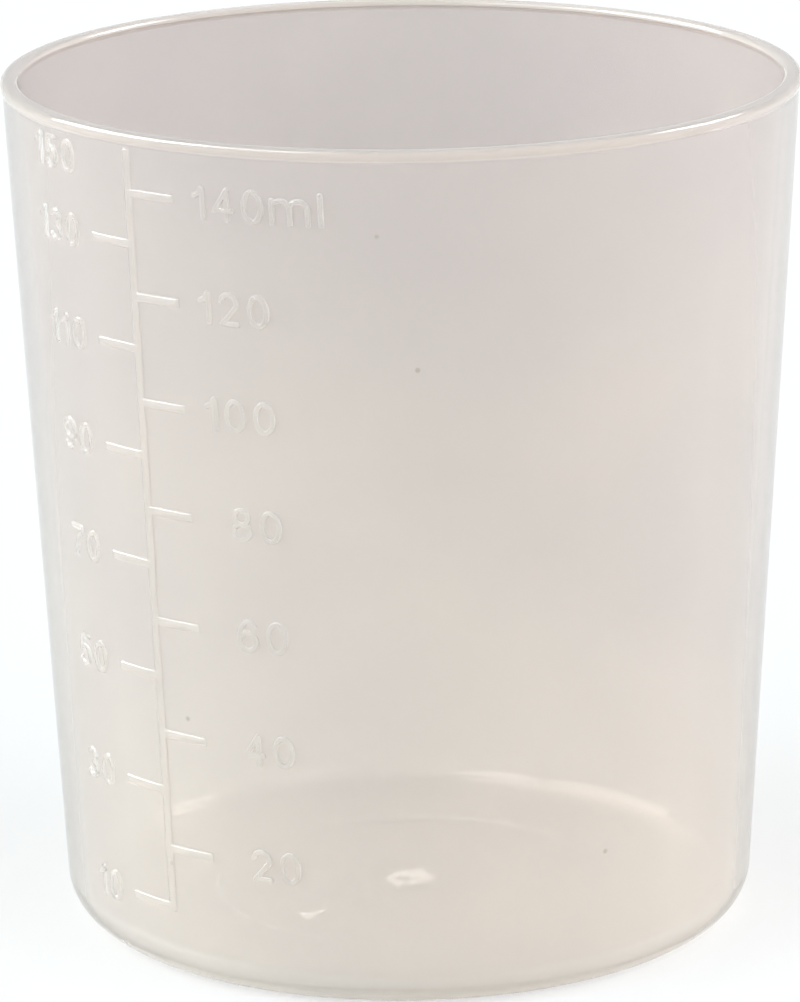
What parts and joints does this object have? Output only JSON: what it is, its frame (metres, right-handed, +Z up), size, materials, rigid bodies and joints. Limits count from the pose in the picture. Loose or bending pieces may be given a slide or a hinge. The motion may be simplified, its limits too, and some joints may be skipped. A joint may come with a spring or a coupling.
{
  "type": "measuring cup",
  "caption": "Small tapered measuring cup in translucent plastic, with a flat base, a narrow proud lip and a raised millilitre scale on the outside of its wall.",
  "frame": {"origin": "on the cup's axis, in the plane of the underside that it stands on", "axes": "+Z up along the cup's axis to the mouth; -Y is the side facing the camera in the picture; the raised scale lies 41 degrees from -Y towards -X"},
  "size_m": [0.0608, 0.0608, 0.0663],
  "materials": {
    "polypropylene": "natural translucent polypropylene, satin gloss, faintly milky and warm"
  },
  "bodies": {
    "root": {"cup_body": "polypropylene", "scale_line": "polypropylene", "tick_010_ml": "polypropylene", "tick_020_ml": "polypropylene", "tick_030_ml": "polypropylene", "tick_040_ml": "polypropylene", "tick_050_ml": "polypropylene", "tick_060_ml": "polypropylene", "tick_070_ml": "polypropylene", "tick_080_ml": "polypropylene", "tick_090_ml": "polypropylene", "tick_100_ml": "polypropylene", "tick_110_ml": "polypropylene", "tick_120_ml": "polypropylene", "tick_130_ml": "polypropylene", "tick_140_ml": "polypropylene"}
  },
  "joints": []
}
